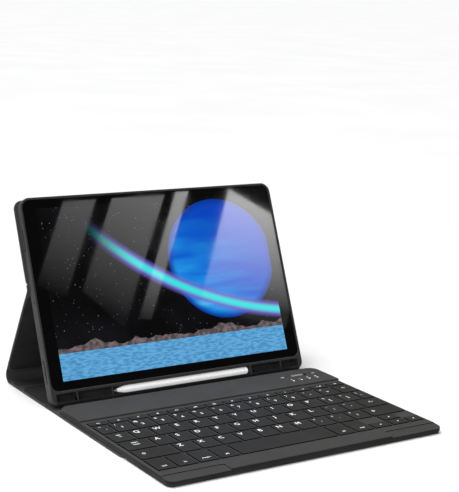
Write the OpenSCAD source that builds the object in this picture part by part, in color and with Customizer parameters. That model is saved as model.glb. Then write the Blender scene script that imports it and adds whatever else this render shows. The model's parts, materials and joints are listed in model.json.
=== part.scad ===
// Folio keyboard case for an 11 inch tablet, standing open for typing.
// +X is right, +Y is away from the typist, +Z is up and the case lies on z = 0.

/* [Cover] */
// How far the leather reaches past the tray on each side
cover_lip = 2; // [1:0.1:4]
// Thickness of the outer skin
skin_t = 0.5; // [0.4:0.1:0.8]
// Thickness of the stiffening boards
board_t = 1.1; // [0.8:0.1:1.6]
// Thickness of the soft lining
lining_t = 0.4; // [0.3:0.1:0.6]
// Depth of the front panel that carries the keyboard
main_d = 120; // [90:1:160]
// Width of the spine panel
spine_d = 19; // [14:0.5:26]
// Leather left bare between two boards at a flat fold
fold_gap = 3; // [2:0.5:5]
// Leather left bare in front of the tray's bottom edge
groove_lead = 6; // [4:0.5:8]
// Clear leather behind the tray's bottom edge
groove_tail = 2.2; // [1:0.1:4]
// Radius of the rounded bend at the back of the stand
bend_r = 7.3; // [5:0.1:10]
// Radius of the cover's free corners
cover_r = 8; // [4:0.5:14]

/* [Tablet] */
// Width of the tablet
tablet_w = 254.3; // [220:0.1:310]
// Height of the tablet
tablet_h = 165.8; // [140:0.1:200]
// Thickness of the tablet
tablet_t = 6.5; // [5:0.1:8]
// Radius of the tablet's corners
tablet_r = 7; // [4:0.5:10]
// Thickness of the cover glass
glass_t = 0.6; // [0.4:0.1:1]

/* [Tray] */
// Side and top wall of the tray
tray_wall = 1.75; // [1.2:0.05:3]
// Back wall of the tray
tray_back = 1.5; // [1.2:0.1:2.5]
// How far the tray's rim stands above the glass
rim_h = 1; // [0.5:0.1:1.5]
// Room around the tablet
tablet_clear = 0.3; // [0.2:0.05:0.5]
// Bottom lip in front of the pen channel
lip_h = 3.7; // [2.5:0.1:5]
// Height of the pen channel
channel_h = 6.8; // [6.6:0.1:9]
// Wall between the pen channel and the tablet
channel_wall = 2.4; // [1.5:0.1:4]
// Lean of the tablet, measured up from the table
lean = 66.8; // [60:0.1:72]
// Height up the tray's back where the stand is attached
crease_h = 102; // [84:1:124]
// Slope of the stand, measured up from the table
stand_angle = 62.5; // [55:0.5:72]
// Width of the camera window
camera_w = 28; // [20:0.5:36]
// Height of the camera window
camera_h = 16; // [12:0.5:20]
// Width of the pen rest in the back
pen_rest_w = 11.5; // [9:0.5:14]
// Length of the pen rest in the back
pen_rest_l = 150; // [120:1:170]

/* [Pen] */
// Diameter of the pen
pen_d = 6.2; // [5:0.1:6.4]
// Length of the pen
pen_l = 138; // [110:1:139]

/* [Keyboard] */
// How far the keyboard stays inside the cover's sides
kb_inset = 0.7; // [0.5:0.1:3]
// How much shorter than the tray the keyboard is
kb_short = 0.55; // [0:0.05:6]
// Room between the tray and the keyboard
kb_gap = 12; // [12:0.5:20]
// Thickness of the keyboard's floor
floor_t = 0.8; // [0.6:0.1:1.2]
// Thickness of the steel plate under the keys
plate_t = 0.6; // [0.4:0.1:1]
// Thickness of the rubber key mat
mat_t = 0.4; // [0.3:0.1:0.8]
// Thickness of the keyboard's top
deck_t = 1.2; // [1:0.1:2]
// Wall around the keyboard
kb_wall = 1.6; // [1.2:0.1:2.4]
// Depth of the raised strip behind the keys
bar_d = 40; // [34:0.5:46]
// Height of the raised strip above the key area
bar_rise = 1.6; // [1:0.1:3]
// How far a key stands above the keyboard's top
key_rise = 0.6; // [0.3:0.1:1.2]
// How far a key goes down
key_travel = 1.3; // [1:0.1:2]
// Gap between neighbouring keys
key_gap = 2.2; // [1.8:0.1:3]
// Room around a key in its opening
key_clear = 0.35; // [0.3:0.05:0.6]
// Plain margin left and right of the keys
key_margin = 3.5; // [3:0.1:8]
// Plain margin in front of the keys
front_margin = 18; // [15:0.5:24]
// Plain gap between the raised strip and the keys
bar_margin = 5; // [3:0.5:8]
// Length of the battery
battery_l = 88; // [60:1:110]
// Width of each finger notch
notch_w = 45; // [30:1:60]
// Diameter of the holding magnets
magnet_d = 10; // [6:0.5:14]
// Travel of the power switch
switch_travel = 4; // [2:0.5:5]

/* [Hidden] */
$fn = 48;
eps = 0.01;
slide_clear = 0.3;

// Levels and places of the cover, as seen from its left side (y, z)
panel_t = skin_t + board_t + lining_t;
tray_t = tray_back + tablet_t + rim_h;
tray_h = lip_h + channel_h + channel_wall + tablet_h + 2 * tablet_clear + tray_wall;
tray_w = tablet_w + 2 * (tablet_clear + tray_wall);
tray_edge_r = tray_t / 2;
cover_w = tray_w + 2 * cover_lip;
tray_r = tablet_r + tablet_clear + tray_wall;
tablet_u = lip_h + channel_h + channel_wall + tablet_clear;
lip_z = skin_t + slide_clear + tray_edge_r * (1 - sin(lean) + cos(lean));
hinge_w = tray_t + slide_clear + panel_t - skin_t / 2;
crease_y = crease_h * cos(lean) + hinge_w * sin(lean);
crease_z = lip_z + crease_h * sin(lean) - hinge_w * cos(lean);
stand_top_z = crease_z + skin_t / 2 * cos(stand_angle);
corner_y = crease_y + skin_t / 2 * sin(stand_angle) + stand_top_z / tan(stand_angle);
stand_l = stand_top_z / sin(stand_angle);
bend_set = bend_r / tan(stand_angle / 2);
spine_y1 = corner_y - bend_set;
spine_y0 = spine_y1 - spine_d;
strip_y1 = spine_y0 - fold_gap;
strip_y0 = tray_t / sin(lean) + groove_tail;
main_y1 = -groove_lead;
main_y0 = main_y1 - main_d;
back_t = skin_t + board_t;

// The keyboard
kb_w = cover_w - 2 * kb_inset;
kb_d = tray_h - kb_short;
kb_y1 = -kb_gap;
kb_y0 = kb_y1 - kb_d;
kb_r = 6;
bar_r = 9;
screw_d = 1.6;
screw_head_t = 0.45;
kb_z0 = panel_t;
plate_z = kb_z0 + floor_t;
mat_z = plate_z + plate_t;
key_z0 = mat_z + mat_t + key_travel + 0.1;
deck_z = key_z0;
deck_top = deck_z + deck_t;
bar_top = deck_top + bar_rise;
key_top = deck_top + key_rise;
bar_y0 = kb_y1 - bar_d;
field_w = kb_w - 2 * key_margin;
key_unit = field_w / 13.66;
field_d = kb_d - bar_d - bar_margin - front_margin;
row_unit = field_d / 5.67;

// Key rows from the back: depth and key widths, in units; 0 takes what is left
row_depths = [0.48, 1, 1, 1, 1, 1.19];
row_keys = [
  [for (i = [0:13]) i < 13 ? 0.985 : 0],
  [for (i = [0:13]) i == 0 ? 0.75 : i < 13 ? 1 : 0],
  [for (i = [0:13]) i == 0 ? 1.08 : i < 13 ? 1 : 0],
  [for (i = [0:12]) i == 0 ? 1.44 : i < 12 ? 1 : 0],
  [for (i = [0:11]) i == 0 ? 1.91 : i < 11 ? 1 : 0],
  [0.96, 1, 1, 1, 5, 1, 1, 1, 1, 0]
];
function total(list, n) = n <= 0 ? 0 : list[n - 1] + total(list, n - 1);
function key_x(r, i) = -field_w / 2 + key_unit * total(row_keys[r], i);
function key_end(r, i) = row_keys[r][i] > 0 ? key_x(r, i + 1) : field_w / 2 + key_gap;
function key_w(r, i) = key_end(r, i) - key_x(r, i) - key_gap;
function key_d(r) = row_unit * row_depths[r] - key_gap;
function key_y(r) = bar_y0 - bar_margin - row_unit * total(row_depths, r + 1) + key_gap;
half_d = (key_d(5) - key_gap) / 2;

// Places along the tray and the keyboard, from their right or left ends
camera_x = -tray_w / 2 + 29;
window_u = tray_h - 22;
pen_rest_x = -tray_w / 2 + 50;
button_x = -tray_w / 2 + 32;
button_l = 50;
rib_t = 1.2;
end_rib_x = tray_w / 2 - 24.2;
channel_x = tray_w / 2 - 4.7;
pen_window_x = pen_l / 2 + 2;
switch_x = kb_w / 2 - 27.5;
lens_x = kb_w / 2 - 41.5;
lens_step = 8.8;
battery_x = -kb_w / 2 + 30.5;
port_y = kb_y1 - 22.2;

// The whole model stands centred on its outline
y_shift = -(kb_y0 + spine_y1 + bend_r) / 2;

module placed() {
  translate([0, y_shift, 0]) children();
}
module in_tray() {
  placed() translate([0, 0, lip_z]) rotate([lean, 0, 0]) children();
}
module in_stand() {
  placed() translate([0, corner_y, 0]) rotate([180 - stand_angle, 0, 0]) children();
}

// Box from its lowest to its highest corner
module span(a, b) {
  translate(a) cube(b - a);
}
// Plate with rounded corners, given by its two corners, radius and height
module plate(x0, y0, x1, y1, r, h) {
  linear_extrude(h) {
    translate([x0 + r, y0]) square([x1 - x0 - 2 * r, y1 - y0]);
    translate([x0, y0 + r]) square([x1 - x0, y1 - y0 - 2 * r]);
    for (x = [x0 + r, x1 - r], y = [y0 + r, y1 - r]) translate([x, y]) circle(r);
  }
}
// Cover panel layer between two places along the cover
module layer(y0, y1, z, t) {
  span([-cover_w / 2, y0, z], [cover_w / 2, y1, z + t]);
}
// The front panel's outline, with two rounded free corners
module main_layer(z, t) {
  translate([0, 0, z]) {
    plate(-cover_w / 2, main_y0, cover_w / 2, main_y1 - cover_r, cover_r, t);
    span([-cover_w / 2, main_y0 + cover_r, 0], [cover_w / 2, main_y1, t]);
  }
}
module at_magnets() {
  for (x = [-0.36, -0.12, 0.12, 0.36] * kb_w, y = [bar_y0 - 2.5, main_y0 + 16])
    translate([x, y, 0]) children();
}

module main_skin() {
  color([0.24, 0.24, 0.25]) placed() main_layer(0, skin_t);
}
module main_board() {
  color([0.45, 0.42, 0.36]) placed() difference() {
    main_layer(skin_t, board_t);
    at_magnets() cylinder(h = 9, d = magnet_d + 0.2);
  }
}
module main_lining() {
  color([0.3, 0.3, 0.31]) placed() main_layer(skin_t + board_t, lining_t);
}
module panel_magnets() {
  color("silver") placed() translate([0, 0, skin_t]) at_magnets() cylinder(h = board_t, d = magnet_d);
}
module groove_fold() {
  color([0.2, 0.2, 0.21]) placed() layer(main_y1, strip_y0, 0, skin_t);
}
module strip_skin() {
  color([0.24, 0.24, 0.25]) placed() layer(strip_y0, strip_y1, 0, skin_t);
}
module strip_board() {
  color([0.45, 0.42, 0.36]) placed() layer(strip_y0, strip_y1, skin_t, board_t);
}
module strip_lining() {
  color([0.3, 0.3, 0.31]) placed() layer(strip_y0, strip_y1, skin_t + board_t, lining_t);
}
module spine_fold() {
  color([0.2, 0.2, 0.21]) placed() layer(strip_y1, spine_y0, 0, skin_t);
}
module spine_skin() {
  color([0.24, 0.24, 0.25]) placed() layer(spine_y0, spine_y1, 0, skin_t);
}
module spine_board() {
  color([0.45, 0.42, 0.36]) placed() layer(spine_y0, spine_y1, skin_t, board_t);
}
module spine_lining() {
  color([0.3, 0.3, 0.31]) placed() layer(spine_y0, spine_y1, skin_t + board_t, lining_t);
}
// Leather rolled round the back of the stand
module rear_fold() {
  sweep = 180 - stand_angle;
  color([0.2, 0.2, 0.21]) placed() translate([-cover_w / 2, spine_y1, bend_r])
    rotate([90, 0, 90]) rotate(-90) linear_extrude(cover_w) intersection() {
      difference() {
        circle(bend_r);
        circle(bend_r - skin_t);
      }
      polygon([[0, 0], [20, 0], [20, 20], [20 * cos(sweep), 20 * sin(sweep)]]);
    }
}
module stand_skin() {
  color([0.24, 0.24, 0.25]) in_stand() layer(bend_set, stand_l - fold_gap / 2, 0, skin_t);
}
module stand_board() {
  color([0.45, 0.42, 0.36]) in_stand() layer(bend_set, stand_l - fold_gap / 2, skin_t, board_t);
}
module stand_lining() {
  color([0.3, 0.3, 0.31]) in_stand() layer(bend_set, stand_l - fold_gap / 2, skin_t + board_t, lining_t);
}
// Leather round the crease, between the stand and the panel on the tray's back
module back_fold() {
  half = fold_gap / 2;
  stand_up = [-cos(stand_angle), sin(stand_angle)];
  stand_out = [sin(stand_angle), cos(stand_angle)] * skin_t / 2;
  tray_up = [cos(lean), sin(lean)];
  tray_out = [sin(lean), -cos(lean)];
  mid = (lean - stand_angle) / 2;
  valley = [cos(mid), sin(mid)] * skin_t / 2 / sin((lean + stand_angle) / 2);
  inner = tray_out * (hinge_w - tray_t - back_t + skin_t);
  color([0.2, 0.2, 0.21]) placed() translate([-cover_w / 2, crease_y, crease_z]) rotate([90, 0, 90])
    linear_extrude(cover_w) polygon([
      -half * stand_up + stand_out,
      valley,
      half * tray_up + tray_out * skin_t / 2,
      half * tray_up - inner,
      -inner,
      -half * stand_up - stand_out
    ]);
}

// Windows in the back for the camera and the pen
module back_windows() {
  deep = tray_t + 20;
  translate([camera_x, window_u, -deep]) linear_extrude(deep - tray_t + tray_back + eps) {
    square([camera_w - camera_h, camera_h], center = true);
    for (s = [-1, 1]) translate([s * (camera_w - camera_h) / 2, 0]) circle(d = camera_h);
  }
  translate([pen_rest_x + pen_rest_w / 2, window_u, -deep]) linear_extrude(deep - tray_t + tray_back + eps) {
    translate([0, -pen_rest_w / 2]) square([pen_rest_l - pen_rest_w, pen_rest_w]);
    for (x = [0, pen_rest_l - pen_rest_w]) translate([x, 0]) circle(d = pen_rest_w);
  }
}
module back_layer(w, t) {
  difference() {
    translate([0, 0, w]) {
      plate(-cover_w / 2, crease_h + cover_r, cover_w / 2, tray_h, cover_r, t);
      span([-cover_w / 2, crease_h + fold_gap / 2, 0], [cover_w / 2, tray_h - cover_r, t]);
    }
    back_windows();
  }
}
module back_skin() {
  color([0.24, 0.24, 0.25]) in_tray() back_layer(-tray_t - back_t, skin_t);
}
module back_board() {
  color([0.45, 0.42, 0.36]) in_tray() back_layer(-tray_t - board_t, board_t);
}

// Openings in the tray's walls
module tray_ports() {
  side = tray_w / 2;
  mid_w = -tray_t + tray_back + tablet_t / 2;
  for (x = [-side, side], u = [0.17, 0.8] * tray_h)
    span([x - 4, u - 10, mid_w - 1.1], [x + 4, u + 10, mid_w + 1.1]);
  span([side - 4, tray_h / 2 - 7, mid_w - 2.2], [side + 4, tray_h / 2 + 7, mid_w + 2.2]);
  translate([-side - 1, tray_h * 0.5, mid_w]) rotate([0, 90, 0]) cylinder(h = 5, d = 1.6);
  span([button_x, tray_h - 4, mid_w - 2.2], [button_x + button_l, tray_h + 4, mid_w + 2.2]);
}
module tray_shell() {
  pocket_x = tablet_w / 2 + tablet_clear;
  pocket_u = tablet_u - tablet_clear;
  pocket_r = tablet_r + tablet_clear;
  color([0.19, 0.19, 0.2]) in_tray() difference() {
    intersection() {
      translate([0, 0, -tray_t]) plate(-tray_w / 2, 0, tray_w / 2, tray_h, tray_r, tray_t);
      union() {
        span([-tray_w / 2, tray_edge_r, -tray_t], [tray_w / 2, tray_h, 0]);
        translate([-tray_w / 2, tray_edge_r, -tray_edge_r]) rotate([0, 90, 0])
          cylinder(h = tray_w, r = tray_edge_r);
      }
    }
    translate([0, 0, -tray_t + tray_back])
      plate(-pocket_x, pocket_u, pocket_x, pocket_u + tablet_h + 2 * tablet_clear, pocket_r, tray_t);
    // Pen channel: the pen's window and two pockets at each end
    for (x = [
      [-pen_window_x, pen_window_x],
      [pen_window_x + rib_t, end_rib_x - rib_t / 2],
      [end_rib_x + rib_t / 2, channel_x]
    ]) {
      span([x[0], lip_h, -tray_t + tray_back], [x[1], lip_h + channel_h, 1]);
      span([-x[1], lip_h, -tray_t + tray_back], [-x[0], lip_h + channel_h, 1]);
    }
    back_windows();
    tray_ports();
  }
}

module tablet_body() {
  color([0.3, 0.31, 0.33]) in_tray() translate([0, 0, -tray_t + tray_back])
    plate(-tablet_w / 2, tablet_u, tablet_w / 2, tablet_u + tablet_h, tablet_r, tablet_t - glass_t);
}
module tablet_glass() {
  color([0.03, 0.03, 0.04]) in_tray() translate([0, 0, -rim_h - glass_t])
    plate(-tablet_w / 2, tablet_u, tablet_w / 2, tablet_u + tablet_h, tablet_r, glass_t);
}
module camera_lens() {
  color([0.1, 0.1, 0.12]) in_tray() translate([camera_x, window_u, -tray_t + tray_back - 1.2])
    cylinder(h = 1.2, d = 12);
}
module on_pen() {
  pen_w = -tray_t + tray_back + slide_clear + pen_d / 2;
  in_tray() translate([-pen_l / 2, lip_h + channel_h / 2, pen_w]) rotate([0, 90, 0]) children();
}
module pen_barrel() {
  color("white") on_pen() {
    translate([0, 0, 3]) cylinder(h = 9, d1 = 2.4, d2 = pen_d);
    translate([0, 0, 12]) cylinder(h = pen_l - 12, d = pen_d);
  }
}
module pen_tip() {
  color([0.8, 0.8, 0.8]) on_pen() cylinder(h = 3, d1 = 1, d2 = 2.4);
}

// Outline of the keyboard, drawn in by a margin
module kb_outline(in, h) {
  plate(-kb_w / 2 + in, kb_y0 + in, kb_w / 2 - in, kb_y1 - in, max(kb_r - in, 0.5), h);
}
module at_screws() {
  for (x = [-0.42, -0.15, 0.15, 0.42] * kb_w) translate([x, kb_y0 + front_margin / 2, 0]) children();
  for (x = [-0.42, -0.03] * kb_w) translate([x, kb_y1 - 6, 0]) children();
}
module keyboard_base() {
  color([0.16, 0.16, 0.17]) placed() difference() {
    translate([0, 0, kb_z0]) kb_outline(0, floor_t);
    at_screws() translate([0, 0, kb_z0 - eps]) {
      cylinder(h = screw_head_t + eps, d = 4);
      cylinder(h = 5, d = screw_d + 0.2);
    }
  }
}
module switch_place() {
  translate([switch_x, kb_y1 - 16, 0]) children();
}
module at_lenses() {
  for (i = [0:3]) translate([lens_x + lens_step * i, kb_y1 - 28, 0]) children();
}
// Every key as a list: left, front, width and depth
module each_key(grow) {
  for (r = [0:4], i = [0:len(row_keys[r]) - 1])
    translate([key_x(r, i) - grow, key_y(r) - grow]) square([key_w(r, i) + 2 * grow, key_d(r) + 2 * grow]);
  for (i = [0:6])
    translate([key_x(5, i) - grow, key_y(5) - grow]) square([key_w(5, i) + 2 * grow, key_d(5) + 2 * grow]);
  for (i = [7:9])
    translate([key_x(5, i) - grow, key_y(5) - grow]) square([key_w(5, i) + 2 * grow, half_d + 2 * grow]);
  translate([key_x(5, 8) - grow, key_y(5) + half_d + key_gap - grow])
    square([key_w(5, 8) + 2 * grow, half_d + 2 * grow]);
}
module keyboard_deck() {
  color([0.26, 0.26, 0.27]) placed() difference() {
    union() {
      translate([0, 0, plate_z]) kb_outline(0, deck_top - plate_z);
      translate([0, 0, plate_z])
        plate(-kb_w / 2, bar_y0, kb_w / 2, kb_y1, bar_r, bar_top - plate_z);
    }
    // Hollow under the keys, and under the raised strip
    difference() {
      span([-kb_w / 2 + kb_wall, kb_y0 + front_margin - 5, 0], [kb_w / 2 - kb_wall, bar_y0, deck_z]);
      for (x = [-1, 1]) translate([x * kb_w / 2, kb_y0 + front_margin, 0]) cylinder(h = 20, r = 3);
    }
    difference() {
      span([-kb_w / 2 + kb_wall, bar_y0 - eps, 0], [kb_w / 2 - kb_wall, kb_y1 - kb_wall, bar_top - deck_t]);
      at_screws() cylinder(h = 20, d = 5);
      for (x = [-1, 1]) translate([x * kb_w / 2, kb_y1, 10]) cube([20, 20, 40], center = true);
      span([-kb_w / 2, bar_y0 - 1, deck_z], [kb_w / 2, bar_y0 + kb_wall, 20]);
    }
    at_screws() cylinder(h = plate_z + 1.8, d = screw_d + 0.1);
    translate([0, 0, deck_z - eps]) linear_extrude(deck_t + 1) each_key(key_clear);
    // Finger notches at the two front corners
    for (x = [-0.29 * kb_w - notch_w, 0.29 * kb_w])
      translate([x + (x < 0 ? -1 : 1), kb_y0 - 1, deck_top - 2.4]) rotate([13, 0, 0]) cube([notch_w, 14, 6]);
    switch_place() {
      translate([0, 0, bar_top - 0.4]) plate(-15, -2.6, 15, 2.6, 2.4, 2);
      span([-6.3 - switch_travel / 2, -1.8, 4], [6.3 + switch_travel / 2, 1.8, 20]);
    }
    at_lenses() cylinder(h = 20, d = 2.2);
    span([kb_w / 2 - 7.8, port_y - 4.8, plate_z + 0.7], [kb_w / 2 + 1, port_y + 4.8, plate_z + 4.1]);
  }
}
module key_plate() {
  color("lightgrey") placed() difference() {
    span([-field_w / 2, kb_y0 + front_margin - 3, plate_z], [field_w / 2, bar_y0 - bar_margin / 5, mat_z]);
    at_magnets() cylinder(h = 20, d = magnet_d + 0.4);
  }
}
module key_mat() {
  color([0.5, 0.5, 0.52]) placed()
    span([-field_w / 2, kb_y0 + front_margin - 3, mat_z], [field_w / 2, bar_y0 - bar_margin / 5, mat_z + mat_t]);
}
module keyboard_magnets() {
  color("silver") placed() intersection() {
    translate([0, 0, plate_z]) at_magnets() cylinder(h = plate_t, d = magnet_d);
    span([-field_w / 2, kb_y0, 0], [field_w / 2, kb_y1, 20]);
  }
}
module battery() {
  color([0.55, 0.57, 0.62]) placed() translate([0, 0, plate_z])
    plate(battery_x, bar_y0 + 6, battery_x + battery_l, kb_y1 - 10, 1.5, 3.4);
}
module circuit_board() {
  color([0.1, 0.35, 0.2]) placed()
    span([4, bar_y0 + 6, plate_z], [kb_w / 2 - 2.4, kb_y1 - 10, plate_z + 0.8]);
}
module charge_port() {
  color("silver") placed() difference() {
    span([kb_w / 2 - 7.6, port_y - 4.5, plate_z + 0.8], [kb_w / 2 - 0.3, port_y + 4.5, plate_z + 4]);
    span([kb_w / 2 - 6.4, port_y - 4.1, plate_z + 1.2], [kb_w / 2 + 1, port_y + 4.1, plate_z + 3.6]);
  }
}
module status_lenses() {
  color("white") placed() translate([0, 0, bar_top - deck_t]) at_lenses() cylinder(h = deck_t, d = 2);
}
module base_screws() {
  color("silver") placed() at_screws() {
    translate([0, 0, kb_z0]) cylinder(h = screw_head_t, d = 3.6);
    translate([0, 0, kb_z0]) cylinder(h = floor_t + 1.4, d = screw_d);
  }
}
// Soft rail under the part of the keyboard that reaches past the front panel
module rubber_rail() {
  color([0.1, 0.1, 0.1]) placed() intersection() {
    difference() {
      kb_outline(1, kb_z0);
      translate([0, 0, -1]) kb_outline(5, kb_z0 + 2);
    }
    span([-kb_w, kb_y0 - 1, -1], [kb_w, main_y0 - 2, kb_z0 + 1]);
  }
}
// The switch stands at the left end of its slot
module power_switch() {
  under = bar_top - deck_t;
  color([0.5, 0.5, 0.5]) placed() switch_place() translate([-switch_travel / 2, 0, 0]) {
    span([-6, -1.5, under - 0.5], [6, 1.5, bar_top + 0.3]);
    span([-8, -3, under - 1], [8, 3, under - 0.1]);
  }
}

module key(x, y, w, d) {
  color([0.2, 0.2, 0.21]) placed() span([x, y, key_z0], [x + w, y + d, key_top]);
}
module row_part(r, first, last) {
  for (i = [first:last]) key(key_x(r, i), key_y(r), key_w(r, i), key_d(r));
}
module arrow(i, back) {
  key(key_x(5, i), key_y(5) + back * (half_d + key_gap), key_w(5, i), half_d);
}
module function_keys() { row_part(0, 0, 13); }
module number_keys() { row_part(1, 0, 12); }
module backspace_key() { row_part(1, 13, 13); }
module tab_key() { row_part(2, 0, 0); }
module top_letter_keys() { row_part(2, 1, 13); }
module caps_key() { row_part(3, 0, 0); }
module home_letter_keys() { row_part(3, 1, 11); }
module enter_key() { row_part(3, 12, 12); }
module left_shift_key() { row_part(4, 0, 0); }
module bottom_letter_keys() { row_part(4, 1, 10); }
module right_shift_key() { row_part(4, 11, 11); }
module modifier_keys() {
  row_part(5, 0, 3);
  row_part(5, 5, 6);
}
module space_bar() { row_part(5, 4, 4); }
module left_arrow_key() { arrow(7, 0); }
module up_arrow_key() { arrow(8, 1); }
module down_arrow_key() { arrow(8, 0); }
module right_arrow_key() { arrow(9, 0); }

main_skin();
main_board();
main_lining();
panel_magnets();
groove_fold();
strip_skin();
strip_board();
strip_lining();
spine_fold();
spine_skin();
spine_board();
spine_lining();
rear_fold();
stand_skin();
stand_board();
stand_lining();
back_fold();
back_skin();
back_board();
tray_shell();
tablet_body();
tablet_glass();
camera_lens();
pen_barrel();
pen_tip();
keyboard_base();
keyboard_deck();
key_plate();
key_mat();
keyboard_magnets();
battery();
circuit_board();
charge_port();
status_lenses();
base_screws();
rubber_rail();
power_switch();
function_keys();
number_keys();
backspace_key();
tab_key();
top_letter_keys();
caps_key();
home_letter_keys();
enter_key();
left_shift_key();
bottom_letter_keys();
right_shift_key();
modifier_keys();
space_bar();
left_arrow_key();
up_arrow_key();
down_arrow_key();
right_arrow_key();
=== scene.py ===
import json
import math

import bpy
from mathutils import Matrix, Vector


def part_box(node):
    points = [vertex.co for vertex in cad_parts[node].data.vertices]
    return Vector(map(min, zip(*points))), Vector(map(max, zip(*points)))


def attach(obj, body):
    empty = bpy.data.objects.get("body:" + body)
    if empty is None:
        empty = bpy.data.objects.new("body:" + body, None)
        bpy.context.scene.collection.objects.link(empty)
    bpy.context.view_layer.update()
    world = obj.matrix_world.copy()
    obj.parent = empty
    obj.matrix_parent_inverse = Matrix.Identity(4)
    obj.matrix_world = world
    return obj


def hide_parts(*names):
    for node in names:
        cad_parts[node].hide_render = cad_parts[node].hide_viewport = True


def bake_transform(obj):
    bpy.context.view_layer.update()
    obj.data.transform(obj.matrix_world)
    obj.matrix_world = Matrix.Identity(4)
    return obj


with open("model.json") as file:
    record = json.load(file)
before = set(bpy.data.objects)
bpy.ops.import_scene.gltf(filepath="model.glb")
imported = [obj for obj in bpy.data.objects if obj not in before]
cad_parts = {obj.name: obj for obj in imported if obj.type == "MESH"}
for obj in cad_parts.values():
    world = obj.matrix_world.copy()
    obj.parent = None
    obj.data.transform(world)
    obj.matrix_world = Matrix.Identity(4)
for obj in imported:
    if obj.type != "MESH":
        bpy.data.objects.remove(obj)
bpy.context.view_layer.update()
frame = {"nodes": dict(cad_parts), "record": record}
scene = bpy.context.scene
mm = 0.001

# the camera
view = dict(place=(-0.592947, -0.913392, 0.359953), yaw=33.358, pitch=11.391, roll=2.11, lens=97.17)


def makeCamera():
    yaw, pitch, roll = (math.radians(view[k]) for k in ("yaw", "pitch", "roll"))
    forward = Vector((math.sin(yaw) * math.cos(pitch), math.cos(yaw) * math.cos(pitch), -math.sin(pitch)))
    right = Vector((math.cos(yaw), -math.sin(yaw), 0))
    up = right.cross(forward)
    across = math.cos(roll) * right + math.sin(roll) * up
    upright = math.cos(roll) * up - math.sin(roll) * right
    bpy.ops.object.camera_add()
    camera = bpy.context.object
    camera.data.lens, camera.data.sensor_width = view["lens"], 36
    camera.data.clip_start, camera.data.clip_end = 0.05, 100
    turn = Matrix((across, upright, -forward)).transposed().to_4x4()
    camera.matrix_world = Matrix.Translation(view["place"]) @ turn
    scene.camera = camera


makeCamera()
print("camera in place")

# places on the frame that several pieces share
shape = dict(lean=66.8, standTurn=117.5, trayEdge=4.5 * mm, bendR=7.3 * mm, grooveLead=6 * mm, cornerR=8 * mm)


def turned(degrees):
    return Matrix.Rotation(math.radians(degrees), 4, "X")


def heading(place, way):
    return (place.to_3x3() @ Vector(way)).normalized()


leanSin, leanCos = math.sin(math.radians(shape["lean"])), math.cos(math.radians(shape["lean"]))
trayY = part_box("main_skin")[1].y + shape["grooveLead"]
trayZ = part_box("tray_shell")[0].z + shape["trayEdge"] * (1 - leanSin + leanCos)
trayPlace = Matrix.Translation((0, trayY, trayZ)) @ turned(shape["lean"])
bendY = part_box("spine_skin")[1].y
cornerY = bendY + shape["bendR"] / math.tan(math.radians((180 - shape["standTurn"]) / 2))
standPlace = Matrix.Translation((0, cornerY, 0)) @ turned(shape["standTurn"])


def boxOf(nodes, place=None):
    # lowest and highest corners of some CAD nodes, in a leaning or a flat place
    back = (place or Matrix()).inverted()
    points = [back @ v.co for n in nodes for v in frame["nodes"][n].data.vertices]
    return (Vector([min(p[i] for p in points) for i in range(3)]),
            Vector([max(p[i] for p in points) for i in range(3)]))


def objectMode():
    if bpy.context.object and bpy.context.object.mode != "OBJECT":
        bpy.ops.object.mode_set(mode="OBJECT")


def only(piece):
    objectMode()
    bpy.ops.object.select_all(action="DESELECT")
    piece.select_set(True)
    bpy.context.view_layer.objects.active = piece
    return piece


def pickEdges(piece, wanted):
    # leaves the piece in edit mode with just the wanted edges selected
    only(piece)
    bpy.ops.object.mode_set(mode="EDIT")
    bpy.ops.mesh.select_mode(type="EDGE")
    bpy.ops.mesh.select_all(action="DESELECT")
    bpy.ops.object.mode_set(mode="OBJECT")
    points = piece.data.vertices
    for edge in piece.data.edges:
        edge.select = wanted(points[edge.vertices[0]].co, points[edge.vertices[1]].co)
    bpy.ops.object.mode_set(mode="EDIT")


def pickFaces(piece, wanted):
    only(piece)
    bpy.ops.object.mode_set(mode="EDIT")
    bpy.ops.mesh.select_mode(type="FACE")
    bpy.ops.mesh.select_all(action="DESELECT")
    bpy.ops.object.mode_set(mode="OBJECT")
    for face in piece.data.polygons:
        face.select = wanted(face.center, face.normal)
    bpy.ops.object.mode_set(mode="EDIT")


def smooth(piece, angle=32):
    # round edges shade softly and broad faces stay flat
    only(piece)
    bpy.ops.object.shade_smooth_by_angle(angle=math.radians(angle))
    flat = piece.modifiers.new("flat", "WEIGHTED_NORMAL")
    flat.keep_sharp, flat.weight = True, 100
    bpy.ops.object.modifier_apply(modifier="flat")
    return piece


def block(name, low, high):
    objectMode()
    bpy.ops.object.select_all(action="DESELECT")
    low, high = Vector(low), Vector(high)
    bpy.ops.mesh.primitive_cube_add(size=1, location=(low + high) / 2, scale=high - low)
    piece = bpy.context.object
    piece.name = piece.data.name = name
    bpy.ops.object.transform_apply(location=True, rotation=True, scale=True)
    return piece


def slab(name, low, high, corner, edge, place=None, steps=8):
    # a board with round corners and eased edges, flat in its own place
    piece = block(name, low, high)
    tall = (high[2] - low[2]) * 0.9
    if corner:
        pickEdges(piece, lambda a, b: abs(a.z - b.z) > tall)
        bpy.ops.mesh.bevel(offset=corner, segments=steps, affect="EDGES")
    if edge:
        pickEdges(piece, lambda a, b: abs(a.z - b.z) < 1e-7)
        bpy.ops.mesh.bevel(offset=edge, segments=3, affect="EDGES")
    return settle(piece, place)


def settle(piece, place=None):
    objectMode()
    if place:
        piece.data.transform(place)
    return smooth(piece)


def applyModifiers(piece):
    only(piece)
    for modifier in list(piece.modifiers):
        bpy.ops.object.modifier_apply(modifier=modifier.name)


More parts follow.
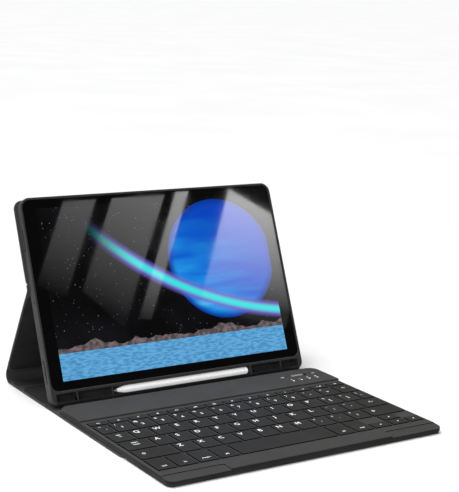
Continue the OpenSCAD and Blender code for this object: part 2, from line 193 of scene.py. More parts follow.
def cut(piece, tool, operation="DIFFERENCE"):
    # takes the tool's shape out of the piece, or adds it, and removes the tool
    modifier = piece.modifiers.new("cut", "BOOLEAN")
    modifier.operation, modifier.solver, modifier.object = operation, "EXACT", tool
    applyModifiers(piece)
    bpy.data.objects.remove(tool)


def lathe(name, rings, sides=40):
    # rings of (height, radius), from the bottom up, closed at both ends
    objectMode()
    bpy.ops.object.select_all(action="DESELECT")
    height, radius = rings[0]
    bpy.ops.mesh.primitive_circle_add(vertices=sides, radius=radius, fill_type="NGON",
                                      location=(0, 0, height))
    piece = bpy.context.object
    piece.name = piece.data.name = name
    bpy.ops.object.transform_apply(location=True, rotation=True, scale=True)
    bpy.ops.object.mode_set(mode="EDIT")
    bpy.ops.mesh.select_mode(type="FACE")
    bpy.ops.mesh.select_all(action="SELECT")
    for nextHeight, nextRadius in rings[1:]:
        bpy.ops.mesh.extrude_region_move(TRANSFORM_OT_translate={"value": (0, 0, nextHeight - height)})
        bpy.ops.transform.resize(value=(nextRadius / radius, nextRadius / radius, 1))
        height, radius = nextHeight, nextRadius
    bpy.ops.mesh.select_all(action="SELECT")
    bpy.ops.mesh.normals_make_consistent(inside=False)
    objectMode()
    return piece


def easedCopy(node, name, width, weigh, place=None, segments=2, sharp=24):
    # a merged copy of a CAD node whose sharp edges are rounded, each by its own share of width
    source = frame["nodes"][node]
    piece = bpy.data.objects.new(name, source.data.copy())
    piece.data.name = name
    piece.data.materials.clear()
    scene.collection.objects.link(piece)
    only(piece)
    if piece.data.has_custom_normals:
        bpy.ops.mesh.customdata_custom_splitnormals_clear()
    bpy.ops.object.mode_set(mode="EDIT")
    bpy.ops.mesh.select_all(action="SELECT")
    bpy.ops.mesh.remove_doubles(threshold=3e-6)
    bpy.ops.mesh.dissolve_limited(angle_limit=math.radians(1.5))
    bpy.ops.object.mode_set(mode="OBJECT")
    mesh, back = piece.data, (place or Matrix()).inverted()
    sides = {}
    for face in mesh.polygons:
        for key in face.edge_keys:
            sides.setdefault(key, []).append(face.normal.copy())
    share = mesh.attributes.new("bevel_weight_edge", "FLOAT", "EDGE")
    for i, edge in enumerate(mesh.edges):
        normals = sides.get(edge.key, [])
        if len(normals) == 2 and normals[0].angle(normals[1], 0) > math.radians(sharp):
            share.data[i].value = weigh(*(back @ mesh.vertices[k].co for k in edge.vertices))
    ease = piece.modifiers.new("ease", "BEVEL")
    ease.limit_method, ease.width, ease.segments = "WEIGHT", width, segments
    ease.use_clamp_overlap = False
    applyModifiers(piece)
    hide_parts(node)
    return smooth(piece, 40)


def fold(name, path, half, thick, cuts):
    # a strip of leather laid along a path of (point, outward normal), from end to end of the path
    lengths = [0]
    for (a, _), (b, _) in zip(path, path[1:]):
        lengths.append(lengths[-1] + (b - a).length)
    piece = block(name, (-half, 0, -thick), (half, lengths[-1], 0))
    pickEdges(piece, lambda a, b: abs(a.y - b.y) > 1e-6)
    bpy.ops.mesh.subdivide(number_cuts=cuts)
    objectMode()
    for v in piece.data.vertices:
        at, k = v.co.y, 0
        while k < len(lengths) - 2 and lengths[k + 1] < at:
            k += 1
        share = (at - lengths[k]) / (lengths[k + 1] - lengths[k])
        point = path[k][0].lerp(path[k + 1][0], share)
        normal = path[k][1].lerp(path[k + 1][1], share).normalized()
        v.co = Vector((v.co.x, point.y, point.z)) + normal * v.co.z
    return smooth(piece, 50)


def shaderOf(name):
    material = bpy.data.materials.new(name)
    material.use_nodes = True
    tree = material.node_tree
    return material, tree, tree.nodes["Principled BSDF"]


def addNode(tree, kind, settings=None, **inputs):
    node = tree.nodes.new(kind)
    for key, value in (settings or {}).items():
        setattr(node, key, value)
    for key, value in inputs.items():
        slot = node.inputs[int(key[1:])] if key[0] == "i" and key[1:].isdigit() else node.inputs[key]
        if isinstance(value, bpy.types.NodeSocket):
            tree.links.new(value, slot)
        else:
            slot.default_value = value
    return node


def ramp(tree, source, low, high, start, end):
    # source between low and high becomes a colour between start and end
    spread = addNode(tree, "ShaderNodeMapRange", {"interpolation_type": "SMOOTHSTEP"},
                     Value=source, i1=low, i2=high)
    mixer = addNode(tree, "ShaderNodeMix", {"data_type": "RGBA"})
    tree.links.new(spread.outputs[0], mixer.inputs[0])
    for index, value in ((6, start), (7, end)):
        if isinstance(value, bpy.types.NodeSocket):
            tree.links.new(value, mixer.inputs[index])
        else:
            mixer.inputs[index].default_value = (*value, 1)
    return mixer.outputs[2]


def mathNode(tree, operation, a, b=0.0):
    return addNode(tree, "ShaderNodeMath", {"operation": operation}, i0=a, i1=b).outputs[0]


def noise(tree, place, scale, detail, output=0):
    return addNode(tree, "ShaderNodeTexNoise", None, Vector=place, Scale=scale, Detail=detail).outputs[output]


def mapped(tree, place, **inputs):
    return addNode(tree, "ShaderNodeMapping", None, Vector=place, **inputs).outputs[0]


def objectPlace(tree):
    return addNode(tree, "ShaderNodeTexCoord").outputs["Object"]


# tone and shade are the two colours a surface drifts between; grain is the size of its texture
finishes = {
    "leather": dict(tone=0.062, shade=0.05, rough=(0.5, 0.66), grain=0.75, depth=0.10, cells=True, edgeWearAndHighlight=0.1,
                    sheen=0.06, spec=0.2),
    "microfibre": dict(tone=0.022, shade=0.016, rough=(0.85, 0.98), grain=0.22, depth=0.08, sheen=0.06,
                       streak=2.2, spec=0.1),
    "board": dict(tone=(0.16, 0.14, 0.11), shade=(0.10, 0.09, 0.07), rough=(0.8, 0.95), grain=0.5, depth=0.1,
                  streak=3),
    "steel_magnet": dict(tone=0.55, shade=0.42, rough=(0.2, 0.42), metal=1, grain=0.3, depth=0.02, streak=6),
    "soft_shell": dict(tone=0.037, shade=0.031, rough=(0.42, 0.56), grain=0.28, depth=0.035, edgeWearAndHighlight=0.08,
                       spec=0.2),
    # painted light: the glow makes the metal shine as if lit, so it shows a painted glint through the tray's
    # slots
    "tablet_metal": dict(tone=0.6, shade=0.52, rough=(0.3, 0.42), metal=0.3, grain=0.1, depth=0.012,
                         glow=0.1),
    "lens": dict(tone=0.004, shade=0.009, rough=(0.05, 0.1), grain=2.5, depth=0.0, coat=0.15, spec=0.3),
    # painted light: the glow brightens the pen as if strongly lit from the front
    "pen_white": dict(tone=0.92, shade=0.86, rough=(0.26, 0.4), grain=0.25, depth=0.012, coat=0.3,
                      glow=0.42),
    "pen_nib": dict(tone=0.6, shade=0.45, rough=(0.4, 0.6), grain=0.15, depth=0.03, edgeWearAndHighlight=0.3),
    "base_plastic": dict(tone=0.014, shade=0.011, rough=(0.45, 0.6), grain=0.3, depth=0.04, edgeWearAndHighlight=0.03,
                         spec=0.12),
    "deck_plastic": dict(tone=(0.052, 0.0505, 0.049), shade=(0.046, 0.045, 0.044), rough=(0.55, 0.7),
                         grain=0.3, depth=0.04, edgeWearAndHighlight=0.1, spec=0.14),
    "key_plastic": dict(tone=(0.0295, 0.0285, 0.0275), shade=(0.0245, 0.0235, 0.0225), rough=(0.52, 0.68),
                        grain=0.24, depth=0.03, edgeWearAndHighlight=0.06, spec=0.12),
    "plate_steel": dict(tone=0.3, shade=0.22, rough=(0.3, 0.5), metal=1, grain=0.3, depth=0.03, streak=5),
    "mat_rubber": dict(tone=0.02, shade=0.013, rough=(0.6, 0.8), grain=0.4, depth=0.05),
    "cell": dict(tone=(0.3, 0.33, 0.38), shade=(0.2, 0.22, 0.26), rough=(0.3, 0.5), metal=0.7, grain=3,
                 depth=0.2),
    "board_green": dict(tone=(0.02, 0.16, 0.06), shade=(0.01, 0.08, 0.03), rough=(0.25, 0.45), grain=1.6,
                        depth=0.1, cells=True, coat=0.4),
    "port_steel": dict(tone=0.5, shade=0.4, rough=(0.22, 0.38), metal=1, grain=0.2, depth=0.02, streak=4),
    # painted light: the glow brightens the white lenses
    "lens_white": dict(tone=0.8, shade=0.68, rough=(0.25, 0.4), grain=0.4, depth=0.02, glow=0.25),
    "screw_steel": dict(tone=0.28, shade=0.2, rough=(0.3, 0.45), metal=1, grain=0.2, depth=0.03, edgeWearAndHighlight=0.5),
    "rail_rubber": dict(tone=0.022, shade=0.014, rough=(0.65, 0.85), grain=0.35, depth=0.06),
    "switch_plastic": dict(tone=0.3, shade=0.24, rough=(0.4, 0.55), grain=0.25, depth=0.03),
    # painted shade: near-black walls of the key caps and the key wells stand in for the shadow between the
    # keys
    "keySide": dict(tone=0.0015, shade=0.001, rough=(0.6, 0.8), grain=0.24, depth=0.02, spec=0.0),
    # painted light: the glow brightens the printed labels
    "print_white": dict(tone=0.9, shade=0.8, rough=(0.5, 0.62), grain=0.2, depth=0.01, glow=0.1),
}

# what all the finishes share: slow drift of tone, pebbled grain, and edges lightened partly by wear and
# partly as a painted highlight
texture = dict(driftScale=32.0, bendScale=0.35, bend=0.55, valleyWidth=0.22, valleyTone=0.72,
               wearWidth=0.45 * mm)


def grey(value):
    return value if isinstance(value, tuple) else (value, value, value)


def makeFinish(name, tone, shade, rough, grain, depth, metal=0.0, cells=False, edgeWearAndHighlight=None, sheen=0.0, coat=0.0,
               streak=None, glow=0.0, spec=0.5):
    material, tree, shader = shaderOf(name)
    place = objectPlace(tree)
    if streak:
        place = mapped(tree, place, Scale=(1, streak, streak))
    drift = addNode(tree, "ShaderNodeTexNoise", None, Vector=place, Scale=texture["driftScale"], Detail=4.0,
                    Roughness=0.6).outputs[0]
    size = 1 / (grain * mm)
    if cells:
        # irregular pebbles: the cells' places are pushed about by a wider noise
        bent = noise(tree, place, size * texture["bendScale"], 2.0, "Color")
        shifted = addNode(tree, "ShaderNodeMix", {"data_type": "VECTOR"})
        shifted.inputs[0].default_value = grain * mm * texture["bend"]
        tree.links.new(place, shifted.inputs[4])
        tree.links.new(bent, shifted.inputs[5])
        cell = addNode(tree, "ShaderNodeTexVoronoi", {"feature": "DISTANCE_TO_EDGE"},
                       Vector=shifted.outputs[1], Scale=size).outputs[0]
        height = addNode(tree, "ShaderNodeMapRange", {"interpolation_type": "SMOOTHSTEP"},
                         Value=cell, i1=0.0, i2=texture["valleyWidth"]).outputs[0]
    else:
        height = noise(tree, place, size, 3.0)
    colour = ramp(tree, drift, 0.3, 0.7, grey(shade), grey(tone))
    valley = tuple(c * texture["valleyTone"] for c in grey(shade))
    colour = ramp(tree, height, 0.05, 0.45, valley, colour)
    if edgeWearAndHighlight is not None:
        # edge colour, partly wear and partly a painted highlight: where the surface turns within half a
        # millimetre
        turn = addNode(tree, "ShaderNodeBevel", {"samples": 4}, Radius=texture["wearWidth"]).outputs[0]
        same = addNode(tree, "ShaderNodeVectorMath", {"operation": "DOT_PRODUCT"}, i0=turn,
                       i1=addNode(tree, "ShaderNodeNewGeometry").outputs["Normal"]).outputs["Value"]
        colour = ramp(tree, same, 0.86, 0.99, grey(edgeWearAndHighlight), colour)
    tree.links.new(colour, shader.inputs["Base Color"])
    gloss = addNode(tree, "ShaderNodeMapRange", None, Value=drift, i1=0.3, i2=0.7, i3=rough[1], i4=rough[0])
    tree.links.new(gloss.outputs[0], shader.inputs["Roughness"])
    if depth:
        bump = addNode(tree, "ShaderNodeBump", None, Strength=0.6, Distance=depth * mm, Height=height)
        tree.links.new(bump.outputs[0], shader.inputs["Normal"])
    shader.inputs["Metallic"].default_value = metal
    shader.inputs["Specular IOR Level"].default_value = spec
    shader.inputs["Coat Weight"].default_value = coat
    shader.inputs["Coat Roughness"].default_value = 0.08
    shader.inputs["Sheen Weight"].default_value = sheen
    shader.inputs["Sheen Roughness"].default_value = 0.45
    # glow is painted light: emission that brightens a part that is no lamp
    if glow:
        tree.links.new(colour, shader.inputs["Emission Color"])
        shader.inputs["Emission Strength"].default_value = glow
    return material


materials = {name: makeFinish(name, **values) for name, values in finishes.items()}
print("finishes mixed:", len(materials))


def done(piece, body, slot=None, *nodes, finish=None, spots=()):
    # the last step of each piece: its finish, its body, its slot and the nodes that it stands for
    piece.data.materials.clear()
    piece.data.materials.append(materials[finish or slot])
    for spot, _ in spots:
        piece.data.materials.append(materials[spot])
    for face in piece.data.polygons:
        face.material_index = next((i + 1 for i, (_, here) in enumerate(spots) if here(face)), 0)
    if body:
        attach(piece, body)
    if nodes:
        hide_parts(*nodes)
    return piece


# the cover: each board and its skin is one leather panel, with the lining on top
cover = dict(edge=0.55 * mm, liningIn=1.4 * mm, liningRise=0.28 * mm, liningSink=0.1 * mm,
             liningEdge=0.12 * mm, foldIn=9 * mm, foldSink=0.28 * mm, foldThick=0.6 * mm, foldSide=0.25 * mm,
             flatShare=0.3, tuck=0.4)


def makePanel(body, nodes, lining, place=None):
    low, high = boxOf(nodes + [lining], place)
    top = high.z - cover["liningRise"]
    panel = slab(body + "Leather", low, (high.x, high.y, top), shape["cornerR"], cover["edge"], place)
    done(panel, body, "leather", *nodes)
    inset = cover["liningIn"]
    lowIn = (low.x + inset, low.y + inset, top - cover["liningSink"])
    highIn = (high.x - inset, high.y - inset, high.z)
    sheet = slab(body + "Lining", lowIn, highIn, shape["cornerR"] - inset, cover["liningEdge"], place)
    done(sheet, body, "microfibre", lining)


makePanel("front_panel", ["main_skin", "main_board"], "main_lining")
makePanel("strip", ["strip_skin", "strip_board"], "strip_lining")
makePanel("spine", ["spine_skin", "spine_board"], "spine_lining")
makePanel("stand", ["stand_skin", "stand_board"], "stand_lining", standPlace)

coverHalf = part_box("main_skin")[1].x - cover["foldSide"]


def flatFold(name, node):
    low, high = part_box(node)
    sink, reach = cover["foldSink"] * cover["flatShare"], cover["foldIn"]
    down = Vector((0, 0, -1))
    path = [(Vector((0, low.y - reach, sink)), down), (Vector((0, high.y + reach, sink)), down)]
    piece = fold(name, path, coverHalf, min(cover["foldThick"], high.z - sink), 40)
    done(piece, None, "leather", node)
    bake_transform(piece)


flatFold("grooveLeather", "groove_fold")
flatFold("spineFoldLeather", "spine_fold")


def makeRearFold():
    # the roll at the back of the stand, with its ends tucked under the two boards
    sink, reach, radius = cover["foldSink"], cover["foldIn"], shape["bendR"]
    centre = Vector((0, bendY, radius))
    path = [(Vector((0, bendY - reach, sink)), Vector((0, 0, -1)))]
    steps = 26
    for i in range(steps + 1):
        turn = math.radians(shape["standTurn"]) * i / steps
        out = Vector((0, math.sin(turn), -math.cos(turn)))
        path.append((centre + out * (radius - sink), out))
    along = heading(standPlace, (0, 1, 0))
    path.append((path[-1][0] + along * reach, path[-1][1]))
    piece = fold("rearLeather", path, coverHalf, cover["foldThick"], 70)
    done(piece, None, "leather", "rear_fold")
    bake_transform(piece)


makeRearFold()

# the panel on the tray's back, with its two windows as (width, height)
back = dict(camera=(28 * mm, 16 * mm), pen=(150 * mm, 11.5 * mm), penIn=50 * mm, edge=0.45 * mm,
            step=1.0 * mm)


def makeBackFold():
    # the valley where the stand meets the panel on the tray's back
    standTop = boxOf(["stand_skin"], standPlace)[1].y
    panelLow = boxOf(["back_skin"], trayPlace)[0]
    sink, reach = cover["foldSink"], cover["foldIn"]
    standOut, trayOut = heading(standPlace, (0, 0, -1)), heading(trayPlace, (0, 0, -1))
    standUp, trayUp = heading(standPlace, (0, 1, 0)), heading(trayPlace, (0, 1, 0))
    a = standPlace @ Vector((0, standTop, sink))
    b = trayPlace @ Vector((0, panelLow.y, panelLow.z + sink))
    path = [(a - standUp * reach, standOut)]
    steps = 12
    middle = (a + standUp * (b - a).length / 2 + b - trayUp * (b - a).length / 2) / 2
    for i in range(steps + 1):
        t = i / steps
        point = a * (1 - t) ** 2 + middle * 2 * t * (1 - t) + b * t ** 2
        path.append((point, standOut.lerp(trayOut, t).normalized()))
    path.append((b + trayUp * reach * cover["tuck"], trayOut))
    piece = fold("creaseLeather", path, coverHalf, cover["foldThick"], 60)
    done(piece, None, "leather", "back_fold")
    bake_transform(piece)


makeBackFold()


def windowTool(name, centreX, centreU, size, low, high):
    # a block with round ends, to cut a window with
    wide, tall = size
    start = (centreX - wide / 2, centreU - tall / 2, low)
    end = (centreX + wide / 2, centreU + tall / 2, high)
    return slab(name, start, end, tall / 2 - 1e-5, 0, steps=14)


def makeBackPanel():
    low, high = boxOf(["back_skin", "back_board"], trayPlace)
    shellLow = boxOf(["tray_shell"], trayPlace)[0]
    lensLow, lensHigh = boxOf(["camera_lens"], trayPlace)
    cameraX, windowU = (lensLow.x + lensHigh.x) / 2, (lensLow.y + lensHigh.y) / 2
    penX = shellLow.x + back["penIn"] + back["pen"][0] / 2
    panel = slab("backLeather", low, high, shape["cornerR"], back["edge"])
    for x, size in ((cameraX, back["camera"]), (penX, back["pen"])):
        grown = (size[0] + back["step"] * 2, size[1] + back["step"] * 2)
        cut(panel, windowTool("windowTool", x, windowU, grown, low.z - mm, high.z + mm))
    panel = settle(panel, trayPlace)
    done(panel, "tray", "leather", "back_skin", "back_board")


makeBackPanel()
print("cover sewn up")

# rim, back and small are shares of ease: how much each kind of edge is rounded
tray = dict(ease=1.0 * mm, rim=0.5, back=1.4, small=0.16, cornerR=9.2 * mm)


def makeTray():
    low, high = boxOf(["tray_shell"], trayPlace)

    def weigh(a, b):
        r = tray["cornerR"]
        if min(a.z, b.z) > high.z - 1e-5:
            return tray["rim"]
        outside = all(min(p.x - low.x, high.x - p.x, high.y - p.y) < r and p.y > r for p in (a, b))
        atBack = max(a.z, b.z) < low.z + 1e-5
        inWindow = abs(a.x - b.x) > 1e-6 and max(a.y, b.y) < high.y - 1e-5 and \
            max(abs(a.x), abs(b.x)) < high.x - r
        return tray["back"] if atBack and outside and not inWindow else tray["small"]

    piece = easedCopy("tray_shell", "trayShell", tray["ease"], weigh, trayPlace, segments=3)
    done(piece, "tray", "soft_shell")


makeTray()
print("tray moulded")

# the lit area's half width and its ends along the glass, then how much the body and the glass are eased
tablet = dict(halfWide=115.7 * mm, low=20.8 * mm, high=171.2 * mm, body=0.6 * mm, glass=0.22 * mm)

# the picture: a night sky, a banded sphere, a soft arc of light, hills and pale ground
picture = dict(strength=0.95, stars=700.0, starSize=0.24, ball=(62 * mm, 113 * mm), ballR=56 * mm,
               bandTurn=0.5, bandScale=(6, 34, 6), arcTurn=0.47, arcSag=1.5, arcMiddle=0.03, arcUp=0.088,
               arcFade=(-0.075, -0.02), hillScale=30, hillRise=0.03, hillFoot=0.034, ground=44 * mm)


def makeScreenFinish():
    material, tree, shader = shaderOf("screen")

    def calc(operation, a, b=0.0):
        return mathNode(tree, operation, a, b)

    toGlass = trayPlace.inverted()
    flat = mapped(tree, objectPlace(tree), Location=toGlass.translation, Rotation=toGlass.to_euler())
    x, u, _ = addNode(tree, "ShaderNodeSeparateXYZ", None, Vector=flat).outputs
    # the lit part of the glass
    middle, half = (tablet["high"] + tablet["low"]) / 2, (tablet["high"] - tablet["low"]) / 2
    overX = calc("SUBTRACT", calc("ABSOLUTE", x), tablet["halfWide"])
    overU = calc("SUBTRACT", calc("ABSOLUTE", calc("SUBTRACT", u, middle)), half)
    lit = calc("LESS_THAN", calc("MAXIMUM", overX, overU))
    # night sky with small stars
    sky = ramp(tree, noise(tree, flat, 14.0, 5.0), 0.42, 0.75, (0.0008, 0.0008, 0.001), (0.007, 0.007, 0.01))
    star = addNode(tree, "ShaderNodeTexVoronoi", None, Vector=flat, Scale=picture["stars"])
    bright = addNode(tree, "ShaderNodeSeparateColor", None, Color=star.outputs["Color"]).outputs[0]
    reach = calc("MULTIPLY", calc("POWER", bright, 9.0), picture["starSize"])
    sky = ramp(tree, calc("LESS_THAN", star.outputs["Distance"], reach), 0.0, 1.0, sky, (0.3, 0.31, 0.34))
    # plain banded sphere, darker towards its foot
    dx, du = calc("SUBTRACT", x, picture["ball"][0]), calc("SUBTRACT", u, picture["ball"][1])
    apart = calc("SQRT", calc("ADD", calc("MULTIPLY", dx, dx), calc("MULTIPLY", du, du)))
    tilted = mapped(tree, flat, Rotation=(0, 0, picture["bandTurn"]), Scale=picture["bandScale"])
    bands = noise(tree, tilted, 1.6, 3.0)
    blue = ramp(tree, bands, 0.3, 0.7, (0.0, 0.11, 0.7), (0.02, 0.4, 0.9))
    blue = ramp(tree, bands, 0.6, 0.82, blue, (0.16, 0.62, 0.92))
    shaded = calc("ADD", calc("MULTIPLY", dx, -0.6), calc("MULTIPLY", du, -0.8))
    blue = ramp(tree, shaded, -0.05, 0.06, (0.0, 0.05, 0.5), blue)
    ball = ramp(tree, apart, picture["ballR"] * 0.86, picture["ballR"], blue, (0.0, 0.04, 0.34))
    art = ramp(tree, calc("LESS_THAN", apart, picture["ballR"]), 0.0, 1.0, sky, ball)
    # one soft arc of light across the sky, fading out at its left end
    sloped = mapped(tree, flat, Rotation=(0, 0, picture["arcTurn"]))
    along, across, _ = addNode(tree, "ShaderNodeSeparateXYZ", None, Vector=sloped).outputs
    sag = calc("MULTIPLY", calc("POWER", calc("ADD", along, picture["arcMiddle"]), 2.0), picture["arcSag"])
    off = calc("ABSOLUTE", calc("SUBTRACT", calc("SUBTRACT", across, picture["arcUp"]), sag))
    glow = ramp(tree, off, 0.0005, 0.0055, (0.05, 0.8, 0.78), (0.17, 0.14, 0.62))
    art = ramp(tree, x, *picture["arcFade"], art, ramp(tree, off, 0.003, 0.0095, glow, art))
    # far hills and pale ground
    ridge = noise(tree, mapped(tree, flat, Scale=(picture["hillScale"], 0, 0)), 1.0, 3.0)
    ridgeU = calc("ADD", calc("MULTIPLY", ridge, picture["hillRise"]), picture["hillFoot"])
    rock = ramp(tree, noise(tree, flat, 220.0, 4.0), 0.35, 0.7, (0.07, 0.06, 0.07), (0.22, 0.16, 0.16))
    art = ramp(tree, calc("LESS_THAN", calc("SUBTRACT", u, ridgeU)), 0.0, 1.0, art, rock)
    ripple = noise(tree, mapped(tree, flat, Scale=(110, 420, 110)), 1.6, 5.0)
    ground = ramp(tree, ripple, 0.38, 0.6, (0.07, 0.27, 0.52), (0.13, 0.43, 0.76))
    art = ramp(tree, calc("LESS_THAN", u, picture["ground"]), 0.0, 1.0, art, ground)
    tree.links.new(ramp(tree, lit, 0.0, 1.0, (0, 0, 0), art), shader.inputs["Emission Color"])
    shader.inputs["Emission Strength"].default_value = picture["strength"]
    # faint smudges on the glass
    smudge = noise(tree, flat, 26.0, 4.0)
    gloss = addNode(tree, "ShaderNodeMapRange", None, Value=smudge, i1=0.35, i2=0.75, i3=0.015, i4=0.05)
    tree.links.new(gloss.outputs[0], shader.inputs["Roughness"])
    tree.links.new(ramp(tree, smudge, 0.3, 0.8, (0.0004, 0.0004, 0.0004), (0.0016, 0.0016, 0.0018)),
                   shader.inputs["Base Color"])
    shader.inputs["IOR"].default_value = 1.52
    return material


materials["screen"] = makeScreenFinish()


def makeTablet():
    low = boxOf(["tablet_body"], trayPlace)[0]
    body = easedCopy("tablet_body", "tabletBody", tablet["body"],
                     lambda a, b: 1.0 if max(a.z, b.z) < low.z + 1e-5 else 0.25, trayPlace, segments=3)
    done(body, "tablet", "tablet_metal")
    glassTop = boxOf(["tablet_glass"], trayPlace)[1].z
    glass = easedCopy("tablet_glass", "tabletGlass", tablet["glass"],
                      lambda a, b: 1.0 if min(a.z, b.z) > glassTop - 1e-5 else 0.1, trayPlace, segments=3)
    done(glass, "tablet", "screen")


makeTablet()

lens = dict(outer=6.0 * mm, ring=5.3 * mm, glass=4.4 * mm)


def makeLens():
    low, high = boxOf(["camera_lens"], trayPlace)
    centre = (low + high) / 2
    spot = trayPlace @ Matrix.Translation((centre.x, centre.y, high.z)) @ Matrix.Rotation(math.pi, 4, "X")
    rise = high.z - low.z
    outer, inner, glass = lens["outer"], lens["ring"], lens["glass"]
    ring = lathe("cameraRing", [(0, outer), (rise * 0.75, outer), (rise * 0.95, outer * 0.97), (rise, inner),
                                (rise * 0.8, inner * 0.95)], 64)
    done(settle(ring, spot), "tablet", "lens", "camera_lens", finish="tablet_metal")
    dome = lathe("cameraGlass", [(rise * 0.2, glass), (rise * 0.82, glass), (rise * 0.9, glass * 0.8),
                                 (rise * 0.93, glass * 0.4), (rise * 0.94, glass * 0.05)], 48)
    done(settle(dome, spot), "tablet", "lens")


makeLens()

pen = dict(shoulder=9 * mm, neck=1.5 * mm, mouth=1.2 * mm, seamAt=0.86, seam=0.12 * mm, endRound=1.2 * mm,
           nib=1.12 * mm)


def makePen():
    low, high = boxOf(["pen_barrel"], trayPlace)
    tipLow = boxOf(["pen_tip"], trayPlace)[0]
    radius, length = (high.z - low.z) / 2, high.x - tipLow.x
    axis = trayPlace @ Matrix.Translation((tipLow.x, (low.y + high.y) / 2, (low.z + high.z) / 2))
    axis = axis @ Matrix.Rotation(math.pi / 2, 4, "Y")
    start = low.x - tipLow.x
    neck, mouth, curve = pen["neck"], pen["mouth"], pen["endRound"]
    rings = [(start, mouth), (start + mouth, neck)]
    for i in range(1, 8):
        t = i / 7
        rings.append((start + mouth + t * pen["shoulder"],
                      neck + (radius - neck) * math.sin(t * math.pi / 2)))
    seam, groove = length * pen["seamAt"], radius - pen["seam"]
    rings += [(seam, radius), (seam + 0.15 * mm, groove), (seam + 0.4 * mm, groove),
              (seam + 0.55 * mm, radius), (length - curve, radius)]
    for i in range(1, 6):
        t = math.radians(18 * i)
        rings.append((length - curve * (1 - math.sin(t)), radius - curve * (1 - math.cos(t))))
    barrel = lathe("penBarrel", rings, 48)
    done(settle(barrel, axis), "pen", "pen_white", "pen_barrel")
    nib = lathe("penNib", [(0.15 * mm, 0.25 * mm), (0.3 * mm, 0.5 * mm), (0.8 * mm, 0.72 * mm),
                           (start - 0.2 * mm, pen["nib"]), (start + 0.05 * mm, pen["nib"])], 32)
    done(settle(nib, axis), "pen", "pen_nib", "pen_tip")


makePen()
print("tablet and pen made")

# skirt is how far below the top the painted shade on the front and sides starts, and sideEdge how wide the
# side's rim is
keyboard = dict(corner=6 * mm, barCorner=9 * mm, barDeep=40 * mm, rise=1.6 * mm, topEdge=1.5 * mm,
                barEdge=0.8 * mm, wellRoom=0.65 * mm, wellFloor=3.7 * mm, ease=0.1 * mm, skirt=0.5 * mm,
                sideEdge=2.5 * mm, baseEase=0.4 * mm, baseHalf=0.12, baseFront=7 * mm)
notch = dict(share=0.29, drop=1.7 * mm, tilt=5, out=1 * mm, past=4 * mm, deep=12 * mm, high=6 * mm,
             round=2.5 * mm)
switch = dict(shift=2 * mm, recess=(15 * mm, 2.6 * mm, 0.4 * mm), recessRound=2.4 * mm,
              slot=(8.3 * mm, 1.8 * mm), below=(10.4 * mm, 3.2 * mm), belowTop=1.15 * mm,
              ribs=11, ribInset=0.12 * mm, ribDeep=0.25 * mm)
lights = dict(count=4, first=1 * mm, pitch=8.8 * mm, hole=1.1 * mm)
keyNodes = [n for n in frame["nodes"] if n.endswith("_keys") or n.endswith("_key") or n == "space_bar"]


sameSide = 0.1 * mm


def keyBoxes(node):
    # each key in a CAD node, as (left, right, front, back), from left to right
    points = [v.co for v in frame["nodes"][node].data.vertices]
    sides = []
    for x in sorted(p.x for p in points):
        if not sides or x - sides[-1] > sameSide:
            sides.append(x)
    front, rear = min(p.y for p in points), max(p.y for p in points)
    return [(left, right, front, rear) for left, right in zip(sides[::2], sides[1::2])]


def joined(name, parts):
    only(parts[0])
    for part in parts[1:]:
        part.select_set(True)
    if len(parts) > 1:
        bpy.ops.object.join()
    piece = bpy.context.object
    piece.name = piece.data.name = name
    return piece


def easeSharp(piece, width, angle):
    ease = piece.modifiers.new("ease", "BEVEL")
    ease.width, ease.segments = width, 2
    ease.limit_method, ease.angle_limit = "ANGLE", math.radians(angle)
    return ease


